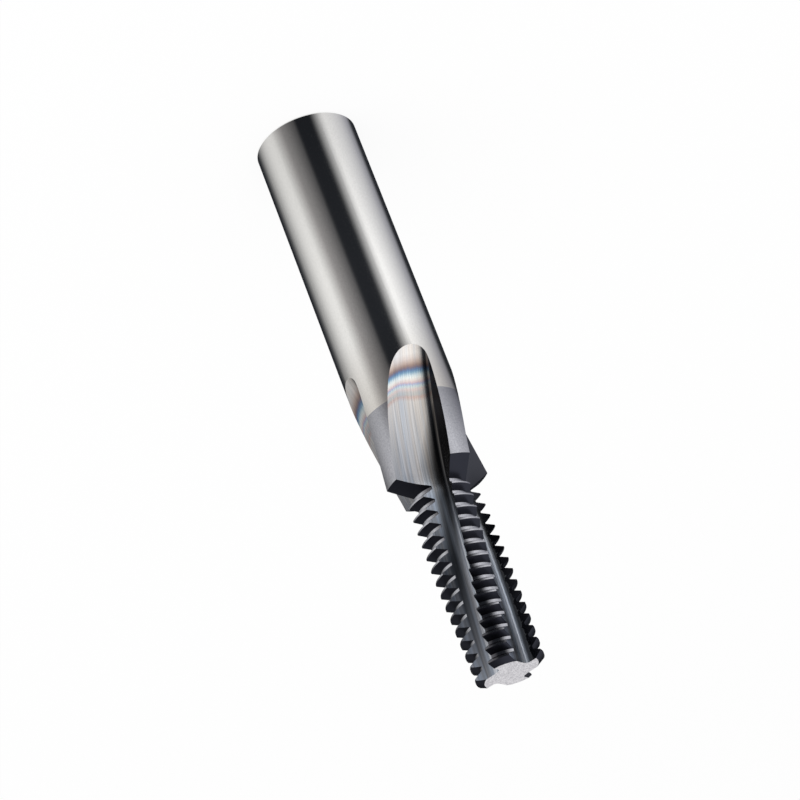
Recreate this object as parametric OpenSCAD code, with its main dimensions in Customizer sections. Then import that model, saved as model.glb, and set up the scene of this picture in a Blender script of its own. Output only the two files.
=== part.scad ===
// Solid carbide thread mill with a countersink shoulder, standing on its shank end, tip up (+Z).
// One solid: plain round shank, four right-hand flutes that run out into it, and ring teeth on four lands.
// All sizes are in millimetres. The origin is the centre of the shank end face.

/* [Shank] */
// Diameter of the plain shank, the fit for the collet
shank_d = 14; // [11:0.5:15]
// Length from the shank end to the tip
overall_l = 83; // [80:1:100]
// Edge break at the shank end
end_break = 0.3; // [0.2:0.1:1]

/* [Thread] */
// Diameter over the tooth crests
cutter_d = 9.8; // [9.2:0.1:10.6]
// Pitch of the ring teeth
pitch = 1.75; // [1:0.25:1.75]
// Number of ring teeth along the cutter
teeth = 15; // [8:1:15]
// Flank angle of a tooth from the plane across the tool
flank_angle = 30; // [27.5:0.5:30]
// Radial drop of the land behind the cutting edge, for each degree of turn
relief = 0.0115; // [0:0.0005:0.02]

/* [Shoulder] */
// Distance from the shoulder corner to the tip
shoulder_l = 28.1; // [28:0.1:34]
// Angle of the shoulder from the plane across the tool
shoulder_angle = 30; // [20:1:34]

/* [Flutes] */
// Helix angle at the cutter diameter
helix_angle = 9.5; // [5:0.5:15]
// Rake angle at the crest
rake_angle = 9; // [0:1:14]
// Distance from the axis to the corner of the flute at the tip
core = 2.2; // [2:0.01:2.6]
// Growth of the core for each millimetre towards the shank
core_taper = 0.011; // [0:0.001:0.02]
// Angle of the flute floor from square to the rake face
floor_angle = 11.5; // [8:0.5:12]
// Rounding of the flute corner
flute_round = 0.4; // [0.3:0.05:0.5]
// Height of the flute tops above the shank end
flute_top = 38.1; // [34:0.1:39]
// Length over which the flutes run out
runout_l = 18.4; // [16:0.1:20]
// Turn of the flute floor towards the outside over the runout
floor_swing = 21.7; // [16:0.1:24]
// Turn of the flute against its helix over the runout
unwind = 12.6; // [8:0.1:15]
// Turn of the first cutting edge at the tip, from +X
tip_turn = 28.5; // [0:0.1:90]

/* [Hidden] */
shank_r = shank_d / 2;
crest_r = cutter_d / 2;
// Height and crest width of a full-form tooth, from the pitch
tooth_h = pitch * 4 / 7;
root_r = crest_r - tooth_h;
flank_l = tooth_h * tan(flank_angle);
crest_half = pitch / 16;
lead = PI * cutter_d / tan(helix_angle);
corner_z = overall_l - shoulder_l;
inner_z = corner_z + (shank_r - root_r) * tan(shoulder_angle);
last_crest = overall_l - crest_half - flank_l;
// The fluted length is ground a little under the shank
fluted_r = shank_r - 0.01;
// The fluted body starts inside the shank and comes out of it just below the flute tops
buried_z = flute_top - 4;
shank_top = flute_top - 0.8;
flutes = 4;
step = 360 / flutes;
rake_off = crest_r * sin(rake_angle);
// Place on the floor that leaves the shank last, and the way the flute is lifted, along its rake face
mid_t = 1.83;
lift_angle = -3;
lift_dir = [cos(lift_angle), sin(lift_angle)];
// Segments: land, rake face, rounding and floor
n_land = 8;
n_rake = 2;
n_round = 4;
n_floor = 2;
per_flute = n_rake + n_round + n_floor + n_land;
per_row = flutes * per_flute;

// Share of the runout at a height, 0 at full depth and 1 at the flute top
function share(z) = max(0, (flute_top + runout_l - z) / runout_l);

// Angle of the first flute at a height
function turn(z) = tip_turn + rake_angle + 360 * (z - overall_l) / lead + unwind * pow(share(z), 2);

// Angle of the flute floor at a height
function floor_at(z) = floor_angle - floor_swing * pow(share(z), 0.58);

// A point of the flute curve, a hyperbola between the rake face (t < 0) and the floor (t > 0)
function flute_raw(t, z) =
    [core + core_taper * (overall_l - z), -rake_off]
    + flute_round * exp(t) * [sin(floor_at(z)), cos(floor_at(z))]
    + flute_round * exp(-t) * [1, 0];

// Lift that brings the flute floor out to the fluted radius at the flute top
top_p = flute_raw(mid_t, flute_top);
top_along = top_p * lift_dir;
full_lift = -top_along + sqrt(top_along * top_along - top_p * top_p + fluted_r * fluted_r);

// Lift at a height, a long slope with a steeper end
function lift(z) = full_lift * (0.9 * pow(share(z), 1.2) + 0.1 * pow(share(z), 8));

function flute_at(t, z) = flute_raw(t, z) + lift(z) * lift_dir;

function angle_of(p) = atan2(p.y, p.x);

// Land radius at a turn behind the cutting edge, where q is the share of the relief
function land_r(r, q, behind) = r - q * relief * behind;

// Ends of the flute curve on the rake side and on the floor side, by halving
function rake_end(z, r, a, b, n) =
    n == 0 ? (a + b) / 2
    : let (m = (a + b) / 2)
      norm(flute_at(m, z)) < r ? rake_end(z, r, m, b, n - 1) : rake_end(z, r, a, m, n - 1);
function floor_end(z, r, q, edge, a, b, n) =
    n == 0 ? (a + b) / 2
    : let (m = (a + b) / 2, p = flute_at(m, z))
      norm(p) < land_r(r, q, edge - angle_of(p))
      ? floor_end(z, r, q, edge, m, b, n - 1) : floor_end(z, r, q, edge, a, m, n - 1);

// Values of t along the flute: rake face, rounding, floor
function flute_ts(te, th) =
    let (tr = max(-1.1, te + 0.15 * (th - te)), tf = max(1.4, (tr + th) / 2))
    concat(
        [for (i = [0:n_rake - 1]) te + (tr - te) * i / n_rake],
        [for (i = [0:n_round - 1]) tr + (tf - tr) * i / n_round],
        [for (i = [0:n_floor]) tf + (th - tf) * i / n_floor]
    );

// One quarter of the section: the flute from its cutting edge, then the land ahead from heel to edge
function quarter(z, r, q) =
    let (
        te = rake_end(z, r, mid_t, -7, 30),
        edge = step + angle_of(flute_at(te, z)),
        th = floor_end(z, r, q, edge, mid_t, 7, 30),
        heel = angle_of(flute_at(th, z))
    )
    concat(
        [for (t = flute_ts(te, th)) flute_at(t, z)],
        [for (i = [1:n_land - 1])
            let (a = heel + (edge - heel) * i / n_land)
            land_r(r, q, edge - a) * [cos(a), sin(a)]]
    );

function spun(p, a, z) = [p.x * cos(a) - p.y * sin(a), p.x * sin(a) + p.y * cos(a), z];

function row(z, r, q) =
    let (pts = quarter(z, r, q))
    [for (f = [0:flutes - 1]) for (p = pts) spun(p, turn(z) + step * f, z)];

// A plain round row, in line with the first open row of the flutes
function round_row(z, z_open) = [for (p = row(z_open, fluted_r, 0))
    let (k = fluted_r / norm([p.x, p.y])) [p.x * k, p.y * k, z]];

// Rows of one tooth, each with its height, radius at the cutting edge and share of the relief
function tooth_rows(c) = [
    [c - crest_half - flank_l, root_r, 1],
    [c - crest_half, crest_r, 1],
    [c + crest_half, crest_r, 1],
    [c + crest_half + flank_l, root_r, 1]
];

// Heights of the rows from the flute tops to the shoulder corner, and on the shoulder, as shares
neck_shares = [0.006, 0.018, 0.04, 0.075, 0.12, 0.18, 0.25, 0.33, 0.42, 0.52, 0.64, 0.76, 0.88, 1];
cone_shares = [0.4, 0.7, 1];
first_open = flute_top + (corner_z - flute_top) * neck_shares[0];
stations = concat(
    [for (k = neck_shares) [flute_top + (corner_z - flute_top) * k, fluted_r, 0]],
    [for (k = cone_shares) [corner_z + (inner_z - corner_z) * k, fluted_r + (root_r - fluted_r) * k, k]],
    [for (i = [0:teeth - 1]) for (s = tooth_rows(last_crest - (teeth - 1 - i) * pitch)) s]
);
rows = concat(
    [round_row(buried_z, first_open), round_row(flute_top, first_open)],
    [for (s = stations) row(s[0], s[1], s[2])]
);
n_rows = len(rows);

// Middle of each flute rounding and of each land, for the end face
round_mid = n_rake + 2;
land_mid = n_rake + n_round + n_floor + n_land / 2;
tip = rows[n_rows - 1];
lobe_mids = [for (f = [0:flutes - 1])
    let (
        a = tip[f * per_flute + round_mid],
        b = tip[((f + 1) % flutes) * per_flute + round_mid]
    )
    (a + b) / 4 + tip[f * per_flute + land_mid] / 2];
points = concat([for (r = rows) each r], lobe_mids, [[0, 0, overall_l], [0, 0, buried_z]]);
first_lobe = n_rows * per_row;
tip_mid = first_lobe + flutes;
bottom_mid = tip_mid + 1;

function at(i, j) = i * per_row + j % per_row;

side_faces = [for (i = [0:n_rows - 2]) for (j = [0:per_row - 1]) each [
    [at(i, j), at(i + 1, j), at(i + 1, j + 1)],
    [at(i, j), at(i + 1, j + 1), at(i, j + 1)]
]];
bottom_faces = [for (j = [0:per_row - 1]) [bottom_mid, at(0, j), at(0, j + 1)]];
lobe_faces = [for (f = [0:flutes - 1]) for (k = [0:per_flute - 1])
    let (j = f * per_flute + round_mid + k)
    [first_lobe + f, at(n_rows - 1, j + 1), at(n_rows - 1, j)]];
chord_faces = [for (f = [0:flutes - 1]) each
    let (a = at(n_rows - 1, f * per_flute + round_mid), b = at(n_rows - 1, (f + 1) * per_flute + round_mid))
    [[first_lobe + f, a, b], [tip_mid, b, a]]];

// Plain shank, true round, with its edge break
module shank() {
    rotate_extrude($fn = 120)
        polygon([
            [0, 0],
            [shank_r - end_break, 0],
            [shank_r, end_break],
            [shank_r, shank_top],
            [0, shank_top]
        ]);
}

// Flutes, shoulder and ring teeth, with the section true at every row
module fluted_end() {
    polyhedron(points = points, faces = concat(side_faces, bottom_faces, lobe_faces, chord_faces), convexity = 10);
}

module thread_mill() {
    color([0.62, 0.62, 0.64])
        union() {
            shank();
            fluted_end();
        }
}

thread_mill();
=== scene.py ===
"""Thread mill in a plain studio: the carbide body, its finishes, the floor, the lights and the camera."""

import logging
import math
from dataclasses import dataclass, field
from enum import Enum

import bpy
import numpy as np
from mathutils import Matrix, Vector

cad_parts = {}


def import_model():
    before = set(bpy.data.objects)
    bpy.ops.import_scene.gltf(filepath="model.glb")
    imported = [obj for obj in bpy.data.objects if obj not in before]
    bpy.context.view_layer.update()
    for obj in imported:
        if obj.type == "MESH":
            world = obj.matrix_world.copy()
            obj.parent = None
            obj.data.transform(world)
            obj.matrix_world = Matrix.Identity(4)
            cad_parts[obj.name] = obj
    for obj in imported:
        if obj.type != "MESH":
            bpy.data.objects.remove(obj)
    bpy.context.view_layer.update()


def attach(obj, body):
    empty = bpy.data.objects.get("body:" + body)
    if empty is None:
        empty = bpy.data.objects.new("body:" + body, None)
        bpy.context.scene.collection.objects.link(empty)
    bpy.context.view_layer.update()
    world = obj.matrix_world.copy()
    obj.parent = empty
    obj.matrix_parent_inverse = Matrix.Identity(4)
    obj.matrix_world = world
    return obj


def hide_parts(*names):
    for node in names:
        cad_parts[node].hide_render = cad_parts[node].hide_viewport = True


LOG = logging.getLogger("thread_mill")
MM = 0.001
WHITE = (1.0, 1.0, 1.0, 1.0)
Socket = bpy.types.NodeSocket


def linear(hex_colour: str) -> tuple[float, float, float, float]:
    """Turn an sRGB hex colour into the linear RGBA that shader sockets take.

    Args:
        hex_colour: A colour such as "#8a8f94".

    Returns:
        Linear red, green, blue and an alpha of 1.
    """
    channels = [int(hex_colour[i : i + 2], 16) / 255 for i in (1, 3, 5)]
    lin = [c / 12.92 if c <= 0.04045 else ((c + 0.055) / 1.055) ** 2.4 for c in channels]
    return (lin[0], lin[1], lin[2], 1.0)


def angle_of(p: np.ndarray) -> np.ndarray:
    """Polar angle of points whose x and y are in the last axis."""
    return np.arctan2(p[..., 1], p[..., 0])


def ring_quads(n_rows: int, n_cols: int) -> np.ndarray:
    """Faces between the rows of a grid whose last column joins its first.

    Args:
        n_rows: Number of rows.
        n_cols: Number of points in a row.

    Returns:
        Point numbers of shape (faces, 4).
    """
    row = np.arange(n_rows - 1)[:, None] * n_cols
    col = np.arange(n_cols)[None, :]
    nxt = (col + 1) % n_cols
    return np.stack([row + col, row + nxt, row + n_cols + nxt, row + n_cols + col], axis=-1).reshape(-1, 4)


class Zone(Enum):
    """Finish of each part of the surface; the value is the material slot of the mesh."""

    BARE = 0
    COATED = 1
    FLUTE = 2
    RAKE = 3
    FLANK = 4
    TIP = 5


@dataclass(frozen=True)
class Ramp:
    """An even change from a start at one place to an end at another, level outside them."""

    low: float
    high: float
    start: float = 0.0
    end: float = 1.0


# The part of a noise's values that is spread over the whole change of colour
NOISE_SPAN = Ramp(0.3, 0.7)


class Nodes:
    """A small wrapper that adds shader nodes with their settings and links."""

    def __init__(self, tree: bpy.types.NodeTree) -> None:
        """Start from an empty node tree."""
        self.tree = tree
        tree.nodes.clear()

    def add(self, kind: str, links: dict | None = None, **settings) -> bpy.types.Node:
        """Add one node.

        Args:
            kind: Blender's name of the node type.
            links: Socket name or index to a value, or to an output socket to link from.
            settings: Attributes of the node.

        Returns:
            The new node.
        """
        node = self.tree.nodes.new(kind)
        for name, value in settings.items():
            setattr(node, name, value)
        for name, value in (links or {}).items():
            socket = node.inputs[name]
            if isinstance(value, Socket):
                self.tree.links.new(value, socket)
            else:
                socket.default_value = value
        return node

    def place(self) -> Socket:
        """Object coordinates, in metres."""
        return self.add("ShaderNodeTexCoord").outputs["Object"]

    def height(self, place: Socket) -> Socket:
        """Height of a place above the shank end, in metres."""
        return self.add("ShaderNodeSeparateXYZ", {0: place}).outputs[2]

    def math(self, operation: str, a, b=0.0, c=0.0) -> Socket:
        """Add a Math node and return its output."""
        return self.add("ShaderNodeMath", {0: a, 1: b, 2: c}, operation=operation).outputs[0]

    def times(self, a, b) -> Socket:
        """Multiply two values."""
        return self.math("MULTIPLY", a, b)

    def gain(self, share, amount) -> Socket:
        """Factor of 1 plus the amount where the share is 1."""
        return self.math("MULTIPLY_ADD", share, amount, 1.0)

    def remap(self, value, low, high, start, end) -> Socket:
        """Map a value evenly so that low gives start and high gives end, clamped."""
        return self.add("ShaderNodeMapRange", {0: value, 1: low, 2: high, 3: start, 4: end}).outputs[0]

    def over(self, value: Socket, ramp: Ramp) -> Socket:
        """Map a value by a ramp in the same unit."""
        return self.remap(value, ramp.low, ramp.high, ramp.start, ramp.end)

    def rise(self, height: Socket, ramp: Ramp) -> Socket:
        """Map a height in metres by a ramp in millimetres."""
        return self.remap(height, ramp.low * MM, ramp.high * MM, ramp.start, ramp.end)

    def noise(self, place: Socket, scale: float, detail: float) -> Socket:
        """Add a noise with the same grain in every direction."""
        return self.add("ShaderNodeTexNoise", {"Vector": place, "Scale": scale, "Detail": detail}).outputs[0]

    def drawn_noise(self, place: Socket, scale: tuple[float, float, float], detail: float) -> Socket:
        """Add a noise drawn out by its own scale along each axis."""
        drawn = self.add("ShaderNodeMapping", {"Vector": place, "Scale": scale}).outputs[0]
        return self.noise(drawn, 1.0, detail)

    def ramp(self, factor: Socket, stops: list[tuple[float, tuple]]) -> Socket:
        """Add a Color Ramp.

        Args:
            factor: Output socket that drives the ramp.
            stops: Positions from 0 to 1 with linear RGBA colours.

        Returns:
            The colour output.
        """
        node = self.add("ShaderNodeValToRGB", {0: factor})
        band = node.color_ramp
        while len(band.elements) < len(stops):
            band.elements.new(1.0)
        for element, (position, colour) in zip(band.elements, stops):
            element.position = position
            element.color = colour
        return node.outputs[0]

    def mix(self, factor, a, b, blend: str = "MIX") -> Socket:
        """Mix two colours and return the result."""
        links = {0: factor, 6: a, 7: b}
        return self.add("ShaderNodeMix", links, data_type="RGBA", blend_type=blend).outputs[2]

    def tint(self, colour: Socket, by: Socket) -> Socket:
        """Multiply a colour by another."""
        return self.mix(1.0, colour, by, "MULTIPLY")

    def dim(self, colour: Socket, factor: Socket) -> Socket:
        """Multiply a colour by a value."""
        return self.add("ShaderNodeVectorMath", {0: colour, "Scale": factor}, operation="SCALE").outputs[0]

    def surface(self, shader: Socket) -> None:
        """Link a shader to the material's output."""
        self.add("ShaderNodeOutputMaterial", {"Surface": shader})

    def metal(self, colour, roughness, metallic=1.0, **more) -> None:
        """Finish the material with a Principled shader.

        Args:
            colour: Base colour.
            roughness: Roughness.
            metallic: Share of metal.
            more: Other sockets of the shader by name.
        """
        links = {"Base Color": colour, "Metallic": metallic, "Roughness": roughness, **more}
        self.surface(self.add("ShaderNodeBsdfPrincipled", links).outputs[0])


def new_material(name: str) -> tuple[bpy.types.Material, Nodes]:
    """Make an empty material and the wrapper for its nodes."""
    material = bpy.data.materials.new(name)
    material.use_nodes = True
    return material, Nodes(material.node_tree)


@dataclass(frozen=True)
class Counts:
    """Segments of one quarter of the section."""

    rake: int = 8
    rounding: int = 16
    floor: int = 12
    land: int = 20

    @property
    def flute(self) -> int:
        """Segments along the flute."""
        return self.rake + self.rounding + self.floor

    @property
    def quarter(self) -> int:
        """Segments in a quarter."""
        return self.flute + self.land


@dataclass(frozen=True)
class MillForm:
    """Sizes of the thread mill in millimetres, the same as in the part's source, and its section."""

    shank_d: float = 14.0
    overall_l: float = 83.0
    end_break: float = 0.3
    cutter_d: float = 9.8
    pitch: float = 1.75
    teeth: int = 15
    flank_angle: float = 30.0
    relief: float = 0.0115
    shoulder_l: float = 28.1
    shoulder_angle: float = 30.0
    helix_angle: float = 9.5
    rake_angle: float = 9.0
    core: float = 2.2
    core_taper: float = 0.011
    floor_angle: float = 11.5
    flute_round: float = 0.4
    flute_top: float = 38.1
    runout_l: float = 18.4
    floor_swing: float = 21.7
    unwind: float = 12.6
    tip_turn: float = 28.5
    mid_t: float = 1.83
    far_t: float = 7.0
    lift_angle: float = -3.0
    flutes: int = 4
    halvings: int = 40

    @property
    def shank_r(self) -> float:
        """Radius of the shank."""
        return self.shank_d / 2

    @property
    def crest_r(self) -> float:
        """Radius over the tooth crests."""
        return self.cutter_d / 2

    @property
    def tooth_h(self) -> float:
        """Radial height of a tooth."""
        return self.pitch * 4 / 7

    @property
    def root_r(self) -> float:
        """Radius at the tooth roots."""
        return self.crest_r - self.tooth_h

    @property
    def lead(self) -> float:
        """Length over which the flutes make one turn."""
        return math.pi * self.cutter_d / math.tan(math.radians(self.helix_angle))

    @property
    def corner_z(self) -> float:
        """Height of the shoulder's outer corner."""
        return self.overall_l - self.shoulder_l

    @property
    def inner_z(self) -> float:
        """Height at which the shoulder reaches the tooth roots."""
        return self.corner_z + (self.shank_r - self.root_r) * math.tan(math.radians(self.shoulder_angle))

    @property
    def rake_off(self) -> float:
        """Distance of the rake face from the axis."""
        return self.crest_r * math.sin(math.radians(self.rake_angle))

    @property
    def lift_dir(self) -> np.ndarray:
        """Direction in the section in which the flute is lifted out of the shank."""
        angle = math.radians(self.lift_angle)
        return np.array([math.cos(angle), math.sin(angle)])

    def share(self, z: np.ndarray) -> np.ndarray:
        """Share of the runout at each height, 0 at full depth and 1 at the flute top."""
        return np.clip((self.flute_top + self.runout_l - z) / self.runout_l, 0, None)

    def turn(self, z: np.ndarray) -> np.ndarray:
        """Angle of the first flute at each height, in radians."""
        helix = 360 * (z - self.overall_l) / self.lead
        return np.radians(self.tip_turn + self.rake_angle + helix + self.unwind * self.share(z) ** 2)

    def flute_raw(self, t: np.ndarray, z: np.ndarray) -> np.ndarray:
        """Points of the flute at full depth.

        The curve is a hyperbola between two straight walls. From the corner where the walls would
        meet, a point lies rounding times e to the t along the floor and rounding times e to the
        minus t along the rake face.

        Args:
            t: Places along the curve, below zero on the rake face and above zero on the floor.
            z: Heights, of a shape that broadcasts with t.

        Returns:
            Points with x and y in the last axis.
        """
        along = self.flute_round * np.exp(t)
        up = self.flute_round * np.exp(-t)
        floor = np.radians(self.floor_angle - self.floor_swing * self.share(z) ** 0.58)
        x = self.core + self.core_taper * (self.overall_l - z) + along * np.sin(floor) + up
        y = -self.rake_off + along * np.cos(floor)
        return np.stack(np.broadcast_arrays(x, y), axis=-1)

    def lift(self, z: np.ndarray) -> np.ndarray:
        """Distance that the flute is lifted at each height: a long slope with a steeper end.

        The full lift brings the middle of the floor out to the shank's radius at the flute top. Nine
        tenths of it follow the share of the runout to the power 1.2, and one tenth to the power 8.

        Args:
            z: Heights.

        Returns:
            Distances in millimetres.
        """
        p = self.flute_raw(np.array(self.mid_t), np.array(self.flute_top))
        along = p @ self.lift_dir
        full = -along + math.sqrt(along**2 - p @ p + self.shank_r**2)
        return full * (0.9 * self.share(z) ** 1.2 + 0.1 * self.share(z) ** 8)

    def flute_at(self, t: np.ndarray, z: np.ndarray) -> np.ndarray:
        """Points of the flute with the lift of the runout."""
        return self.flute_raw(t, z) + self.lift(z)[..., None] * self.lift_dir

    def flute_ends(
        self, z: np.ndarray, r: np.ndarray, drop: np.ndarray
    ) -> tuple[np.ndarray, np.ndarray, np.ndarray]:
        """Ends of the flute curve, where it meets the lands, found by halving.

        Args:
            z: Heights.
            r: Radius at the cutting edge for each height.
            drop: Fall of the land for each radian behind its cutting edge.

        Returns:
            Places of the end on the rake face and of the end on the floor, and the angle of the next
            land's cutting edge.
        """
        low = np.full_like(z, self.mid_t)
        high = np.full_like(z, -self.far_t)
        for _ in range(self.halvings):
            mid = (low + high) / 2
            inside = np.linalg.norm(self.flute_at(mid, z), axis=-1) < r
            low, high = np.where(inside, mid, low), np.where(inside, high, mid)
        rake_t = (low + high) / 2
        edge = math.tau / self.flutes + angle_of(self.flute_at(rake_t, z))
        low = np.full_like(z, self.mid_t)
        high = np.full_like(z, self.far_t)
        for _ in range(self.halvings):
            mid = (low + high) / 2
            p = self.flute_at(mid, z)
            inside = np.linalg.norm(p, axis=-1) < r - drop * (edge - angle_of(p))
            low, high = np.where(inside, mid, low), np.where(inside, high, mid)
        return rake_t, (low + high) / 2, edge

    def section(
        self, z: np.ndarray, r: np.ndarray, q: np.ndarray, counts: Counts
    ) -> tuple[np.ndarray, np.ndarray]:
        """One quarter of the section at each height, from a cutting edge along the flute and the next land.

        The land falls from its cutting edge by the relief times the angle behind the edge.

        Args:
            z: Heights.
            r: Radius at the cutting edge for each height.
            q: Share of the relief for each height.
            counts: Numbers of segments.

        Returns:
            Points of shape (heights, points in a quarter, 2) in the flute's own frame, and the places
            of the flute points along its curve.
        """
        drop = q * self.relief * 180 / math.pi
        rake_t, floor_t, edge = self.flute_ends(z, r, drop)
        heel = angle_of(self.flute_at(floor_t, z))
        t1 = np.maximum(-1.1, rake_t + 0.15 * (floor_t - rake_t))
        t2 = np.maximum(1.4, (t1 + floor_t) / 2)
        ts = np.concatenate(
            [
                np.linspace(rake_t, t1, counts.rake, endpoint=False, axis=-1),
                np.linspace(t1, t2, counts.rounding, endpoint=False, axis=-1),
                np.linspace(t2, floor_t, counts.floor + 1, axis=-1),
            ],
            axis=-1,
        )
        flute = self.flute_at(ts, np.broadcast_to(z[:, None], ts.shape))
        angles = np.linspace(heel, edge, counts.land + 1, axis=-1)[:, 1:-1]
        radii = r[:, None] - drop[:, None] * (edge[:, None] - angles)
        land = np.stack([radii * np.cos(angles), radii * np.sin(angles)], axis=-1)
        return np.concatenate([flute, land], axis=1), ts


@dataclass(frozen=True)
class BareCarbide:
    """Ground cemented carbide without coating: neutral, bright metal with very fine grinding marks."""

    name: str = "bare_ground_carbide"
    light: str = "#d9d8d6"
    dark: str = "#cecdcb"
    film: tuple[float, float, float, float] = (0.78, 0.755, 0.73, 1)
    film_on: Ramp = Ramp(34.0, 44.5)
    roughness: float = 0.13
    uneven: float = 0.01

    def build(self) -> bpy.types.Material:
        """Make the material, with rings of grinding marks about 0.15 mm apart in its gloss.

        A thin warm film of coating grows over the colour towards the coated end.

        Returns:
            The material.
        """
        material, n = new_material(self.name)
        place = n.place()
        marks = n.drawn_noise(place, (90.0, 90.0, 7000.0), 2.0)
        grain = n.noise(place, 7000.0, 2.0)
        colour = n.mix(n.over(grain, NOISE_SPAN), linear(self.light), linear(self.dark))
        film = n.mix(n.rise(n.height(place), self.film_on), WHITE, self.film)
        low, high = self.roughness - self.uneven, self.roughness + self.uneven
        gloss = n.remap(marks, NOISE_SPAN.low, NOISE_SPAN.high, low, high)
        n.metal(n.tint(colour, film), gloss)
        return material


@dataclass(frozen=True)
class CoatedLand:
    """Grey PVD coating on the lands and tooth crests: darker than the carbide, a little blue, smooth."""

    name: str = "pvd_coated_land"
    light: str = "#a7a7ac"
    dark: str = "#909197"
    # Painted shade along the land: darker where the coating starts, a little brighter towards the teeth
    painted_shade_along: Ramp = Ramp(44.8, 53.0, 0.82, 1.05)
    roughness: float = 0.17

    def build(self) -> bpy.types.Material:
        """Make the material, with a fine mottle of about 0.2 mm, and a painted shade that darkens the land
        where the coating starts and brightens it a little towards the teeth.
        """
        material, n = new_material(self.name)
        place = n.place()
        mottle = n.over(n.noise(place, 6000.0, 3.0), NOISE_SPAN)
        colour = n.mix(mottle, linear(self.light), linear(self.dark))
        # Painted shade along the height of the land
        level = n.rise(n.height(place), self.painted_shade_along)
        n.metal(n.dim(colour, level), self.roughness)
        return material


@dataclass(frozen=True)
class ShadedCoating:
    """Faces under the full thickness of the PVD coating, smooth, with the coating painted dark as painted
    shade.
    """

    name: str = "pvd_rake_painted_shade"
    # Painted shade: the coating's grey darkened nearly to black
    colour: str = "#38393f"
    roughness: float = 0.25

    def build(self) -> bpy.types.Material:
        """Make the plain dark metal, its darkness painted shade."""
        material, n = new_material(self.name)
        n.metal(linear(self.colour), self.roughness)
        return material


@dataclass(frozen=True)
class FlutePlace:
    """Sockets that say where a point of a flute lies, and the noises of its lengthwise grinding marks."""

    height: Socket
    across: Socket
    radius: Socket
    streaks: Socket
    lines: Socket
    tints: Socket


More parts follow.
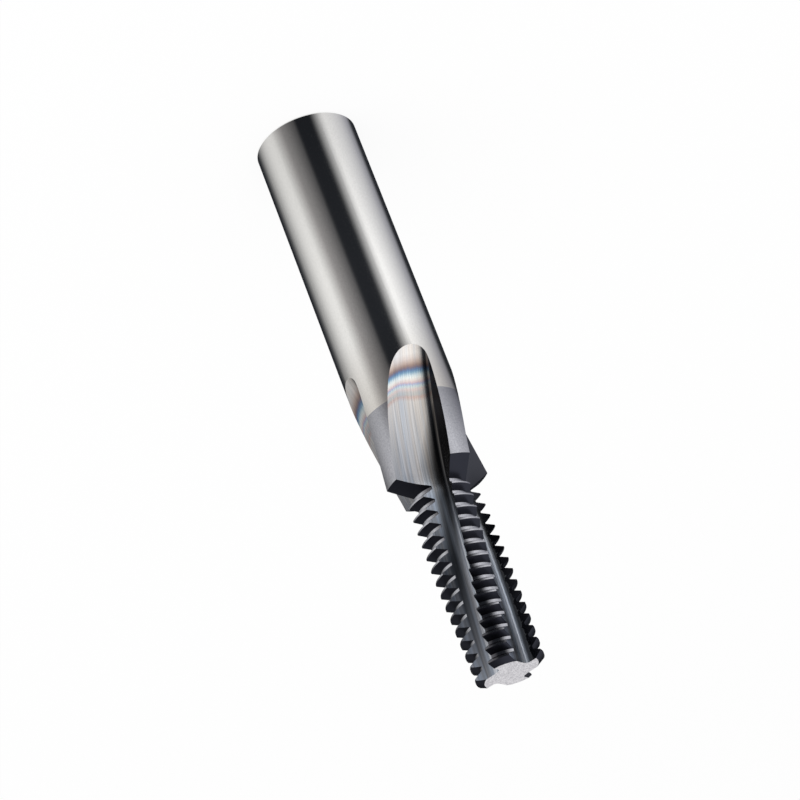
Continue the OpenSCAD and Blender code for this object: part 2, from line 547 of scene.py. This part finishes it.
@dataclass(frozen=True)
class CoatedFlute:
    """Flute walls ground lengthwise: grey PVD at the teeth, thinning out to interference colours and carbide,
    with painted light and shade across the flute.

    Heights are in millimetres above the shank end. Places across the flute are in millimetres from its
    corner, below zero on the rake face and above zero on the floor, and come from the mesh.
    """

    name: str = "pvd_coated_flute"
    # Interference bands: heights and colours, and the way they bend towards the edge and the corner
    first_mm: float = 38.0
    last_mm: float = 60.0
    edge_mm: float = 6.1
    edge_bend: float = 1.1
    deep_bend: float = 0.4
    wander_mm: float = 0.7
    soft_m2: float = 1e-7
    bands: tuple[tuple[float, str], ...] = (
        (38.6, "#f4efea"),
        (39.4, "#e6dbd5"),
        (40.0, "#cdbab0"),
        (40.5, "#a58f88"),
        (40.8, "#867d8c"),
        (41.1, "#718db2"),
        (41.4, "#92b4cc"),
        (41.75, "#dceaee"),
        (42.05, "#f5f8f4"),
        (42.4, "#f0e4de"),
        (42.65, "#dec6ca"),
        (42.82, "#bac2de"),
        (43.1, "#d6e6e6"),
        (43.45, "#ead7d2"),
        (43.8, "#d4d2d0"),
        (44.1, "#d0d1cf"),
        (44.4, "#dec6be"),
        (44.9, "#e8e4e0"),
        (54.0, "#dad8d8"),
        (57.0, "#93969d"),
    )
    # Marks: strength along the height, and the tints of hairlines, streaks, the painted shade at the heel and
    # the toothed end
    marks_on: Ramp = Ramp(43.2, 45.2, 0.5, 1.0)
    marks_fade: Ramp = Ramp(54.0, 58.0, 1.0, 0.9)
    hair: tuple[float, float, float, float] = (0.77, 0.77, 0.78, 1)
    cool: tuple[float, float, float, float] = (0.86, 0.91, 0.97, 1)
    warm: tuple[float, float, float, float] = (1.0, 0.97, 0.94, 1)
    # Painted shade towards the heel: where it darkens, and its colours before and in the shade
    heel_across: Ramp = Ramp(2.0, 4.2)
    heel_unshaded: tuple[float, float, float, float] = (1.0, 0.985, 0.96, 1)
    heel_painted_shade: tuple[float, float, float, float] = (0.82, 0.845, 0.885, 1)
    cold_on: Ramp = Ramp(54.5, 57.5)
    cold: tuple[float, float, float, float] = (0.95, 0.985, 1.01, 1)
    # Painted shade in the corner: its least level, where it widens and narrows, and its two sides with their
    # growth
    corner_least: Ramp = Ramp(56.0, 66.0, 0.13, 0.9)
    corner_widens: Ramp = Ramp(46.0, 54.0)
    corner_narrows: Ramp = Ramp(55.5, 60.0, 1.0, 0.3)
    corner_ends: Ramp = Ramp(62.0, 70.0, 1.0, 0.0)
    corner_side: tuple[float, float] = (-0.3, 0.6)
    corner_growth: tuple[float, float] = (1.5, 3.2)
    # Painted shade on the rake wall past the corner: where it starts, how softly, and its level
    wall_across: Ramp = Ramp(64.0, 83.0, -0.85, -0.5)
    wall_soft_mm: float = 0.3
    wall_level: float = 0.2
    # Painted light and shade on the floor beside the teeth: lit first teeth, dark band, light strip and light
    # heel; and uneven grinding lines
    toothed: Ramp = Ramp(56.0, 59.0)
    first_teeth_lit_on: Ramp = Ramp(55.0, 58.0)
    first_teeth_lit_off: Ramp = Ramp(61.0, 69.0, 1.0, 0.0)
    first_teeth_lit_across: Ramp = Ramp(1.0, 2.0)
    first_teeth_lit_gain: float = 0.6
    band_across: Ramp = Ramp(58.0, 83.0, 1.7, 2.5)
    band_side: Ramp = Ramp(0.15, 0.8, 1.0, 0.0)
    band_depth: Ramp = Ramp(70.0, 83.0, 0.6, 0.2)
    strip_on: Ramp = Ramp(58.0, 64.0)
    strip_across: Ramp = Ramp(0.7, 1.7, 1.0, 0.0)
    strip_gain: float = 0.7
    light_heel_across: Ramp = Ramp(2.2, 3.2)
    light_heel_gain: float = 0.3
    lines_on: Ramp = Ramp(45.0, 59.0, 0.35, 1.0)
    lines_gain: float = 0.55
    # Share of metal across the floor at the first teeth and further on, then gloss and relief of the streaks
    matt_on: Ramp = Ramp(54.5, 57.5)
    matt_change: Ramp = Ramp(61.0, 67.0)
    matt_first: Ramp = Ramp(1.0, 2.1, 0.94, 0.58)
    matt_onward: Ramp = Ramp(0.5, 1.6, 0.6, 0.93)
    gloss: Ramp = Ramp(54.0, 58.0, 0.16, 0.3)
    bump: float = 0.2
    bump_mm: float = 0.01

    def place(self, n: Nodes) -> FlutePlace:
        """Read the place and draw the marks: streaks 0.12 mm, lines 0.3 mm and tints 0.6 mm wide.

        The marks run along the flute, because their noises use the place across it. A share of the X
        axis is added as a third axis, so that the flutes differ.

        Args:
            n: Nodes of the material.

        Returns:
            The sockets.
        """
        axes = n.add("ShaderNodeSeparateXYZ", {0: n.place()}).outputs
        across = n.add("ShaderNodeAttribute", attribute_name="across").outputs["Fac"]
        apart = n.times(axes[0], 60.0)
        mark = n.add("ShaderNodeCombineXYZ", {0: across, 1: axes[2], 2: apart}).outputs[0]
        flat = n.add("ShaderNodeCombineXYZ", {0: axes[0], 1: axes[1]}).outputs[0]
        return FlutePlace(
            height=axes[2],
            across=across,
            radius=n.add("ShaderNodeVectorMath", {0: flat}, operation="LENGTH").outputs["Value"],
            streaks=n.drawn_noise(mark, (8.5, 70.0, 1.0), 3.0),
            lines=n.drawn_noise(mark, (3.6, 90.0, 1.0), 2.0),
            tints=n.drawn_noise(mark, (1.6, 40.0, 1.0), 1.0),
        )

    def film(self, n: Nodes, p: FlutePlace) -> Socket:
        """Colours of the coating along the flute.

        The bands follow the height, less a bend that grows evenly outside and inside the edge radius.
        The two slopes meet softly, because the distance from that radius is the square root of its
        square plus a small amount.

        Args:
            n: Nodes of the material.
            p: Place in the flute.

        Returns:
            The colour.
        """
        beyond = n.math("SUBTRACT", p.radius, self.edge_mm * MM)
        even = n.math("POWER", n.math("ADD", n.times(beyond, beyond), self.soft_m2), 0.5)
        outer = n.times(n.math("ADD", even, beyond), self.edge_bend / 2)
        inner = n.times(n.math("SUBTRACT", even, beyond), self.deep_bend / 2)
        bend = n.math("ADD", outer, inner)
        wander = n.times(n.math("SUBTRACT", p.streaks, 0.5), self.wander_mm * MM)
        along = n.math("ADD", n.math("SUBTRACT", p.height, bend), wander)
        span = self.last_mm - self.first_mm
        stops = [((mm - self.first_mm) / span, linear(colour)) for mm, colour in self.bands]
        return n.ramp(n.rise(along, Ramp(self.first_mm, self.last_mm)), stops)

    def marked(self, n: Nodes, p: FlutePlace, film: Socket) -> Socket:
        """Film with dark hairlines, cool and warm streaks and a painted shade towards the heel, fainter in
        the bands than above them.

        Args:
            n: Nodes of the material.
            p: Place in the flute.
            film: Colour of the coating.

        Returns:
            The colour.
        """
        strength = n.times(n.rise(p.height, self.marks_on), n.rise(p.height, self.marks_fade))
        hair = n.ramp(p.streaks, [(0.35, self.hair), (0.65, WHITE)])
        cool_warm = n.ramp(p.tints, [(0.38, self.cool), (0.6, self.warm)])
        # Painted shade, darker and cooler towards the heel
        heel = n.mix(n.over(p.across, self.heel_across), self.heel_unshaded, self.heel_painted_shade)
        marks = n.tint(hair, n.tint(cool_warm, heel))
        cold = n.mix(n.rise(p.height, self.cold_on), WHITE, self.cold)
        return n.tint(n.mix(strength, film, n.tint(film, marks)), cold)

    def corner(self, n: Nodes, p: FlutePlace) -> Socket:
        """Painted shade in the flute's corner: dark, widest at the shoulder and lighter again along the
        teeth, with more on the rake wall past it.

        Args:
            n: Nodes of the material.
            p: Place in the flute.

        Returns:
            A factor for the colour.
        """
        widens = n.times(n.rise(p.height, self.corner_widens), n.rise(p.height, self.corner_ends))
        widens = n.times(widens, n.rise(p.height, self.corner_narrows))
        near = n.math("MULTIPLY_ADD", widens, self.corner_growth[0], self.corner_side[0])
        far = n.math("MULTIPLY_ADD", widens, self.corner_growth[1], self.corner_side[1])
        # Painted shade in the corner
        deep = n.remap(p.across, near, far, n.rise(p.height, self.corner_least), 1.0)
        # Painted shade on the rake wall past the corner
        foot = n.rise(p.height, self.wall_across)
        wall = n.remap(p.across, foot, n.math("ADD", foot, self.wall_soft_mm), self.wall_level, 1.0)
        return n.times(deep, wall)

    def floor(self, n: Nodes, p: FlutePlace) -> Socket:
        """Painted light and shade on the floor beside the teeth: lit first teeth, light heel, dark band and a
        light strip at the corner, with uneven grinding lines.

        Args:
            n: Nodes of the material.
            p: Place in the flute.

        Returns:
            A factor for the colour.
        """
        toothed = n.rise(p.height, self.toothed)
        # Painted light on the floor at the first teeth
        first_teeth = n.times(n.rise(p.height, self.first_teeth_lit_on), n.rise(p.height, self.first_teeth_lit_off))
        pale = n.gain(n.times(n.over(p.across, self.first_teeth_lit_across), first_teeth), self.first_teeth_lit_gain)
        # Painted shade: a dark band along the floor
        off = n.math("ABSOLUTE", n.math("SUBTRACT", p.across, n.rise(p.height, self.band_across)))
        depth = n.times(n.rise(p.height, self.band_depth), toothed)
        band = n.math("SUBTRACT", 1.0, n.times(n.over(off, self.band_side), depth))
        # Painted light: a light strip at the corner and a light heel
        strip = n.times(n.over(p.across, self.strip_across), n.rise(p.height, self.strip_on))
        heel = n.times(n.over(p.across, self.light_heel_across), toothed)
        light = n.times(n.gain(strip, self.strip_gain), n.gain(heel, self.light_heel_gain))
        uneven = n.times(n.math("SUBTRACT", n.over(p.lines, NOISE_SPAN), 0.5), self.lines_gain)
        lined = n.gain(uneven, n.rise(p.height, self.lines_on))
        return n.times(n.times(pale, band), n.times(light, lined))

    def metallic(self, n: Nodes, p: FlutePlace) -> Socket:
        """Share of metal: full up to the shoulder, then more matt at the heel, and later at the corner."""
        first = n.over(p.across, self.matt_first)
        onward = n.over(p.across, self.matt_onward)
        change = n.remap(p.height, self.matt_change.low * MM, self.matt_change.high * MM, first, onward)
        return n.remap(p.height, self.matt_on.low * MM, self.matt_on.high * MM, 1.0, change)

    def build(self) -> bpy.types.Material:
        """Make the material from the film, its marks, the painted light and shade across the flute and the
        gloss.
        """
        material, n = new_material(self.name)
        p = self.place(n)
        # Painted light and shade across the flute: its corner, rake wall and floor
        level = n.times(self.corner(n, p), self.floor(n, p))
        colour = n.dim(self.marked(n, p, self.film(n, p)), level)
        relief = {"Strength": self.bump, "Distance": self.bump_mm * MM, "Height": p.streaks}
        bump = n.add("ShaderNodeBump", relief).outputs[0]
        n.metal(colour, n.rise(p.height, self.gloss), self.metallic(n, p), Normal=bump)
        return material


@dataclass(frozen=True)
class GroundTip:
    """End face ground flat after coating: pale bare carbide, matt, with a fine speckle."""

    name: str = "bare_ground_end_face"
    light: str = "#f2f0f2"
    dark: str = "#cccace"
    specks: Ramp = Ramp(0.38, 0.62)
    metallic: float = 0.25
    roughness: float = 0.55

    def build(self) -> bpy.types.Material:
        """Make the material, with specks of about 0.2 mm."""
        material, n = new_material(self.name)
        specks = n.over(n.noise(n.place(), 5200.0, 2.0), self.specks)
        colour = n.mix(specks, linear(self.light), linear(self.dark))
        n.metal(colour, self.roughness, self.metallic)
        return material


FINISHES = {
    Zone.BARE: BareCarbide(),
    Zone.COATED: CoatedLand(),
    Zone.FLUTE: CoatedFlute(),
    Zone.RAKE: ShadedCoating(),
    # The shoulder and the tooth flanks, in painted shade a little lighter than the rake faces
    Zone.FLANK: ShadedCoating("pvd_flank_painted_shade", "#585960", 0.3),
    Zone.TIP: GroundTip(),
}


@dataclass
class ThreadMill:
    """The whole tool as one closed surface on a grid of rows along the axis and columns around it."""

    form: MillForm = field(default_factory=MillForm)
    counts: Counts = field(default_factory=Counts)
    coat_mm: float = 44.8
    rake_t: float = -1.05
    deep_t: float = -0.4
    sharp_angle: float = 22.0
    end_rows: int = 6
    shank_rows: int = 14

    def stations(self) -> tuple[np.ndarray, np.ndarray, np.ndarray]:
        """Heights, edge radii and relief shares of the rows from the flute tops to the tip.

        The rows lie close together at the flute tops. Each tooth has six, at its roots, crest corners
        and half way up its flanks.

        Returns:
            Heights and radii in millimetres, and shares from 0 to 1.
        """
        f = self.form
        shares = np.concatenate([[0.001, 0.003, 0.006, 0.011, 0.018, 0.026], np.linspace(0.036, 1.0, 54)])
        neck = f.flute_top + (f.corner_z - f.flute_top) * shares
        body = np.unique(np.concatenate([neck, [self.coat_mm]]))
        cone = np.linspace(0, 1, 9)[1:]
        flank_l = f.tooth_h * math.tan(math.radians(f.flank_angle))
        half = f.pitch / 16
        last = f.overall_l - half - flank_l
        crests = last - f.pitch * np.arange(f.teeth - 1, -1, -1)
        rising = np.array([-half - flank_l, -half - flank_l / 2, -half])
        offsets = np.concatenate([rising, -rising[::-1]])
        mid_r = (f.root_r + f.crest_r) / 2
        tooth_r = np.array([f.root_r, mid_r, f.crest_r, f.crest_r, mid_r, f.root_r])
        shoulder_z = f.corner_z + (f.inner_z - f.corner_z) * cone
        shoulder_r = f.shank_r + (f.root_r - f.shank_r) * cone
        z = np.concatenate([body, shoulder_z, (crests[:, None] + offsets).ravel()])
        r = np.concatenate([np.full(len(body), f.shank_r), shoulder_r, np.tile(tooth_r, f.teeth)])
        q = np.concatenate([np.zeros(len(body)), cone, np.ones(len(offsets) * f.teeth)])
        return z, r, q

    def rows(self) -> tuple[np.ndarray, np.ndarray, np.ndarray]:
        """All rows of the grid in millimetres, and the finish of each face between them.

        Each fluted row is the quarter section, turned by the helix and repeated for every flute. The
        round rows below the flute tops keep the angles of the first fluted row.

        Returns:
            Points of shape (rows, columns, 3), slot numbers of shape (rows less one, columns), and the
            place of each point across its flute in millimetres, below zero on the rake face.
        """
        f = self.form
        z, r, q = self.stations()
        quarter, ts = f.section(z, r, q, self.counts)
        angle = f.turn(z)[:, None] + np.arange(f.flutes) * math.tau / f.flutes
        cos, sin = np.cos(angle)[:, :, None], np.sin(angle)[:, :, None]
        x = quarter[:, None, :, 0] * cos - quarter[:, None, :, 1] * sin
        y = quarter[:, None, :, 0] * sin + quarter[:, None, :, 1] * cos
        fluted = np.stack([x, y, np.broadcast_to(z[:, None, None], x.shape)], axis=-1)
        fluted = fluted.reshape(len(z), -1, 3)
        plain = self.round_rows(angle_of(fluted[0]))
        across = np.repeat(2 * f.flute_round * np.sinh(ts)[:, None, :], f.flutes, axis=1)
        across = np.pad(across, ((len(plain), 0), (0, 0), (0, self.counts.land - 1)))
        return np.concatenate([plain, fluted]), self.zones(z, r, ts, len(plain)), across.reshape(-1)

    def round_rows(self, around: np.ndarray) -> np.ndarray:
        """Rows of the shank: rings on its end face, the edge break, and rings up to the flute tops.

        Args:
            around: Angles of the columns.

        Returns:
            Points of shape (rows, columns, 3) in millimetres.
        """
        f = self.form
        inner = f.shank_r - f.end_break
        rings = inner * np.linspace(0.1, 1, self.end_rows)
        radii = np.concatenate([rings, np.full(self.shank_rows, f.shank_r)])
        sides = np.linspace(f.end_break, f.flute_top, self.shank_rows)
        heights = np.concatenate([np.zeros(self.end_rows), sides])[:, None]
        x = radii[:, None] * np.cos(around)
        y = radii[:, None] * np.sin(around)
        return np.stack([x, y, np.broadcast_to(heights, x.shape)], axis=-1)

    def zones(self, z: np.ndarray, r: np.ndarray, ts: np.ndarray, plain: int) -> np.ndarray:
        """Finish of each face of the grid.

        Args:
            z: Heights of the fluted rows.
            r: Radius at the cutting edge in each fluted row.
            ts: Places of the flute points along the flute's curve in each fluted row.
            plain: Number of round rows below them.

        Returns:
            Slot numbers of shape (rows less one, columns).
        """
        zone = np.full((len(z), self.counts.quarter), Zone.COATED.value)
        heights = np.concatenate([[self.form.flute_top], (z[:-1] + z[1:]) / 2])
        slope = np.concatenate([[0.0], np.abs(np.diff(r))])
        zone[heights < self.coat_mm] = Zone.BARE.value
        zone[(heights > self.form.corner_z) & (slope > 0.01)] = Zone.FLANK.value
        places = (ts[:, :-1] + ts[:, 1:]) / 2
        limit = np.where(heights < self.form.inner_z, self.deep_t, self.rake_t)[:, None]
        zone[:, : self.counts.flute] = np.where(places < limit, Zone.RAKE.value, Zone.FLUTE.value)
        shank = np.full((plain - 1, self.counts.quarter), Zone.BARE.value)
        return np.tile(np.concatenate([shank, zone]), (1, self.form.flutes))

    def caps(self, grid: np.ndarray) -> tuple[np.ndarray, np.ndarray, np.ndarray]:
        """Points and triangles that close the two ends.

        The tip is a fan for each lobe, from the middle of its land and roundings, and a middle piece
        between the chords of the fans. The shank end is one fan.

        Args:
            grid: Points of the rows.

        Returns:
            The added points, the triangles of the tip and the triangles of the shank end.
        """
        n_rows, n_cols = grid.shape[:2]
        flutes, quarter = self.form.flutes, self.counts.quarter
        first, top = n_rows * n_cols, (n_rows - 1) * n_cols
        round_mid = self.counts.rake + self.counts.rounding // 2
        land_mid = self.counts.flute + self.counts.land // 2
        starts = np.arange(flutes) * quarter + round_mid
        ends = (starts + quarter) % n_cols
        tip = grid[-1]
        lobes = (tip[starts] + tip[ends]) / 4 + tip[np.arange(flutes) * quarter + land_mid] / 2
        points = np.concatenate([lobes, [[0, 0, self.form.overall_l]], [[0, 0, 0]]])
        lobe_ids = first + np.arange(flutes)
        steps = starts[:, None] + np.arange(quarter)[None, :]
        hubs = np.broadcast_to(lobe_ids[:, None], steps.shape)
        fans = np.stack([hubs, top + steps % n_cols, top + (steps + 1) % n_cols], axis=-1).reshape(-1, 3)
        outer = np.stack([lobe_ids, top + ends, top + starts], axis=-1)
        inner = np.stack([np.full(flutes, first + flutes), top + starts, top + ends], axis=-1)
        col = np.arange(n_cols)
        pole = np.stack([np.full(n_cols, first + flutes + 1), (col + 1) % n_cols, col], axis=-1)
        return points, np.concatenate([fans, outer, inner]), pole

    def build(self) -> bpy.types.Object:
        """Build the mesh, with its end faces closed, and give it its finishes.

        Returns:
            The object, in metres, at the origin.
        """
        grid, zone, across = self.rows()
        n_rows, n_cols = grid.shape[:2]
        added, tip, pole = self.caps(grid)
        points = np.concatenate([grid.reshape(-1, 3), added])
        faces = ring_quads(n_rows, n_cols).tolist() + tip.tolist() + pole.tolist()
        slots = np.concatenate(
            [zone.ravel(), np.full(len(tip), Zone.TIP.value), np.full(len(pole), Zone.BARE.value)]
        )
        mesh = bpy.data.meshes.new("thread_mill_ground")
        mesh.from_pydata((points * MM).tolist(), [], faces)
        mesh.polygons.foreach_set("material_index", slots.astype(np.int32))
        mesh.polygons.foreach_set("use_smooth", np.ones(len(slots), dtype=bool))
        mesh.set_sharp_from_angle(angle=math.radians(self.sharp_angle))
        layer = mesh.attributes.new("across", "FLOAT", "POINT")
        layer.data.foreach_set("value", np.pad(across, (0, len(added))).astype(np.float32))
        for part in Zone:
            mesh.materials.append(FINISHES[part].build())
        mesh.update()
        piece = bpy.data.objects.new("thread_mill_ground", mesh)
        bpy.context.scene.collection.objects.link(piece)
        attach(piece, "root")
        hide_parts("thread_mill")
        LOG.info("thread_mill_ground: %d rows, %d columns, %d faces", n_rows, n_cols, len(slots))
        return piece


@dataclass(frozen=True)
class Strip:
    """A tall light with soft sides, placed by azimuth from the camera in degrees."""

    name: str
    rise: tuple[float, float]
    fall: tuple[float, float]
    level_in: float
    level_out: float
    tint_in: tuple[float, float, float]
    tint_out: tuple[float, float, float]

    def glow(self, azimuth: np.ndarray) -> np.ndarray:
        """Light at each azimuth: a level that changes evenly across, with smooth steps at both sides.

        Args:
            azimuth: Azimuths in degrees.

        Returns:
            Linear RGB in the last axis.
        """
        up = np.clip((azimuth - self.rise[0]) / (self.rise[1] - self.rise[0]), 0, 1)
        down = np.clip((azimuth - self.fall[0]) / (self.fall[1] - self.fall[0]), 0, 1)
        side = up**2 * (3 - 2 * up) * (1 - down**2 * (3 - 2 * down))
        across = np.clip((azimuth - self.rise[1]) / (self.fall[0] - self.rise[1]), 0, 1)[:, None]
        first = self.level_in * np.array(self.tint_in)
        last = self.level_out * np.array(self.tint_out)
        return side[:, None] * (first + (last - first) * across)


@dataclass
class Studio:
    """White floor, a shell of light strips for the metal to reflect, a lamp and the camera."""

    floor_m: float = 6.0
    floor_glow: float = 0.9
    shell_m: float = 0.45
    shank_m: float = 0.007
    target: tuple[float, float, float] = (0.00068, 0.0, 0.0419)
    distance_m: float = 0.3996
    azimuth: float = 0.05
    elevation: float = 27.33
    roll: float = 158.84
    lens_mm: float = 138.5
    strip_top: float = 18.0
    strip_fade: float = 14.0
    foot_dim: float = 0.3
    foot_m: float = 0.045
    dome_level: tuple[float, float] = (0.22, 0.16)
    dome_tint: tuple[float, float, float] = (0.95, 0.98, 1.12)
    ambient: tuple[float, float, float] = (0.024, 0.0265, 0.032)
    world_strength: float = 0.6
    lamp_w: float = 9.0
    lamp_m: float = 1.2
    lamp_at: tuple[float, float, float] = (0.2, -0.5, 1.2)
    lamp_aim: tuple[float, float, float] = (0.0, 0.0, 0.04)
    strips: tuple[Strip, ...] = (
        Strip("left softbox", (-152, -72), (-70, -40), 1.17, 1.17, (1, 0.995, 0.98), (1, 0.995, 0.98)),
        Strip("left fill", (-66, -44), (-14, -3), 0.45, 0.14, (1, 0.965, 0.955), (1, 0.965, 0.965)),
        Strip("right softbox", (26, 62), (120, 143), 1.41, 0.45, (1, 1, 1), (0.95, 0.955, 1.05)),
    )

    def floor(self) -> None:
        """Lay the white floor, which takes a faint shadow."""
        half = self.floor_m / 2
        mesh = bpy.data.meshes.new("floor")
        corners = [(-half, -half, 0), (half, -half, 0), (half, half, 0), (-half, half, 0)]
        mesh.from_pydata(corners, [], [(0, 1, 2, 3)])
        material, n = new_material("white_floor")
        path = n.add("ShaderNodeLightPath")
        seen = n.math("MAXIMUM", path.outputs["Is Camera Ray"], path.outputs["Is Glossy Ray"])
        seen = n.math("MAXIMUM", seen, path.outputs["Is Transmission Ray"])
        matt = n.add("ShaderNodeBsdfDiffuse", {"Color": (0.97, 0.97, 0.97, 1)}).outputs[0]
        white = n.add("ShaderNodeEmission", {"Color": WHITE, "Strength": 1.0}).outputs[0]
        share = n.times(seen, self.floor_glow)
        n.surface(n.add("ShaderNodeMixShader", {0: share, 1: matt, 2: white}).outputs[0])
        mesh.materials.append(material)
        piece = bpy.data.objects.new("floor", mesh)
        bpy.context.scene.collection.objects.link(piece)
        LOG.info("floor: white, %.0f m", self.floor_m)

    def strip_material(self) -> bpy.types.Material:
        """Make the glowing material of the strips, which takes its colour from the mesh."""
        material, n = new_material("studio_strips")
        colour = n.add("ShaderNodeVertexColor", layer_name="glow").outputs[0]
        n.surface(n.add("ShaderNodeEmission", {"Color": colour, "Strength": 1.0}).outputs[0])
        return material

    def shell_colours(self, angle: np.ndarray, reach: np.ndarray, level: np.ndarray) -> np.ndarray:
        """Light of each point of the shell.

        A column takes the ambient light and the glow of every strip at its azimuth. The board is
        dimmed next to the tool, less so to the sides. Above the strips the light fades into that of
        the dome, which is stronger on the right by the sine of the azimuth.

        Args:
            angle: Azimuths of the columns in radians.
            reach: Distances of the rows from the tool in metres.
            level: Elevations of the rows in degrees, 0 on the board.

        Returns:
            Linear RGBA of shape (rows, columns, 4).
        """
        azimuth = np.degrees(angle)
        glow = np.array(self.ambient) + sum(strip.glow(azimuth) for strip in self.strips)
        dim = self.foot_dim * np.clip((110 - np.abs(azimuth)) / 50, 0, 1)[:, None]
        near = 1 - dim * np.clip(1 - reach / self.foot_m, 0, 1)[:, None, None]
        near[level > 0] = 1.0
        fade = np.clip((level - self.strip_top) / self.strip_fade, 0, 1)[:, None, None]
        dome = (self.dome_level[0] + self.dome_level[1] * np.sin(angle))[:, None] * np.array(self.dome_tint)
        colour = np.ones((len(reach), len(angle), 4), dtype=np.float32)
        colour[..., :3] = glow * near * (1 - fade) + dome * fade
        return colour

    def shell(self) -> None:
        """Stand the strips round the tool: a board just above the floor and a dome, seen only in reflections.

        A column of the grid follows the light that one line of the shank reflects to the camera. It
        starts at the shank's side, runs out over the board at twice that line's angle and rises up the
        dome.
        """
        side = np.radians(np.linspace(-90, 90, 181))
        angle = 2 * side
        out = np.array([0.0, 0.004, 0.01, 0.018, 0.03, 0.045, 0.07, 0.15, 0.3, self.shell_m])
        rise = np.radians(np.linspace(0, 90, 31))[1:]
        reach = np.concatenate([out, self.shell_m * np.cos(rise)])
        height = np.concatenate([np.zeros(len(out)), self.shell_m * np.sin(rise)]) + 0.0001
        level = np.concatenate([np.zeros(len(out)), np.degrees(rise)])
        x = -(self.shank_m * np.sin(side) + reach[:, None] * np.sin(angle))
        y = -(self.shank_m * np.cos(side) + reach[:, None] * np.cos(angle))
        grid = np.stack([x, y, np.broadcast_to(height[:, None], x.shape)], axis=-1)
        quads = ring_quads(len(reach), len(side))
        mesh = bpy.data.meshes.new("studio_shell")
        mesh.from_pydata(grid.reshape(-1, 3).tolist(), [], quads.tolist())
        layer = mesh.color_attributes.new("glow", "FLOAT_COLOR", "POINT")
        layer.data.foreach_set("color", self.shell_colours(angle, reach, level).ravel())
        mesh.materials.append(self.strip_material())
        piece = bpy.data.objects.new("studio_shell", mesh)
        bpy.context.scene.collection.objects.link(piece)
        piece.visible_camera = False
        piece.visible_diffuse = False
        piece.visible_shadow = False
        LOG.info("studio_shell: %d faces, %s", len(quads), ", ".join(strip.name for strip in self.strips))

    def lamps(self) -> None:
        """Light the scene with a plain white world and one large soft lamp above."""
        world = bpy.data.worlds.new("studio_world")
        bpy.context.scene.world = world
        world.use_nodes = True
        back = world.node_tree.nodes["Background"]
        back.inputs["Color"].default_value = WHITE
        back.inputs["Strength"].default_value = self.world_strength
        lamp = bpy.data.lights.new("soft_top", "AREA")
        lamp.shape = "DISK"
        lamp.size = self.lamp_m
        lamp.energy = self.lamp_w
        holder = bpy.data.objects.new("soft_top", lamp)
        holder.location = self.lamp_at
        holder.rotation_euler = (Vector(self.lamp_aim) - holder.location).to_track_quat("-Z", "Y").to_euler()
        holder.visible_glossy = False
        bpy.context.scene.collection.objects.link(holder)
        LOG.info("soft_top: %.0f W lamp", self.lamp_w)

    def camera(self) -> None:
        """Place the camera: it looks down at the tool from the front, rolled so that the tip points down."""
        az, el = math.radians(self.azimuth), math.radians(self.elevation)
        back = Vector((math.sin(az) * math.cos(el), -math.cos(az) * math.cos(el), math.sin(el)))
        level = Vector((0, 0, 1)).cross(back).normalized()
        upright = back.cross(level)
        roll = math.radians(self.roll)
        right = level * math.cos(roll) + upright * math.sin(roll)
        up = back.cross(right)
        frame = Matrix((right, up, back)).transposed().to_4x4()
        frame.translation = Vector(self.target) + back * self.distance_m
        data = bpy.data.cameras.new("photo_camera")
        data.sensor_width = 36.0
        data.lens = self.lens_mm
        data.clip_start = 0.01
        holder = bpy.data.objects.new("photo_camera", data)
        holder.matrix_world = frame
        bpy.context.scene.collection.objects.link(holder)
        bpy.context.scene.camera = holder


def main() -> None:
    """Load the CAD frame, build the tool and the studio, and keep the sizes."""
    logging.basicConfig(level=logging.INFO, format="%(message)s")
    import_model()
    ThreadMill().build()
    studio = Studio()
    studio.floor()
    studio.shell()
    studio.lamps()
    studio.camera()
    bpy.context.scene.view_settings.view_transform = "Standard"
    bpy.context.view_layer.update()


if __name__ == "__main__":
    main()
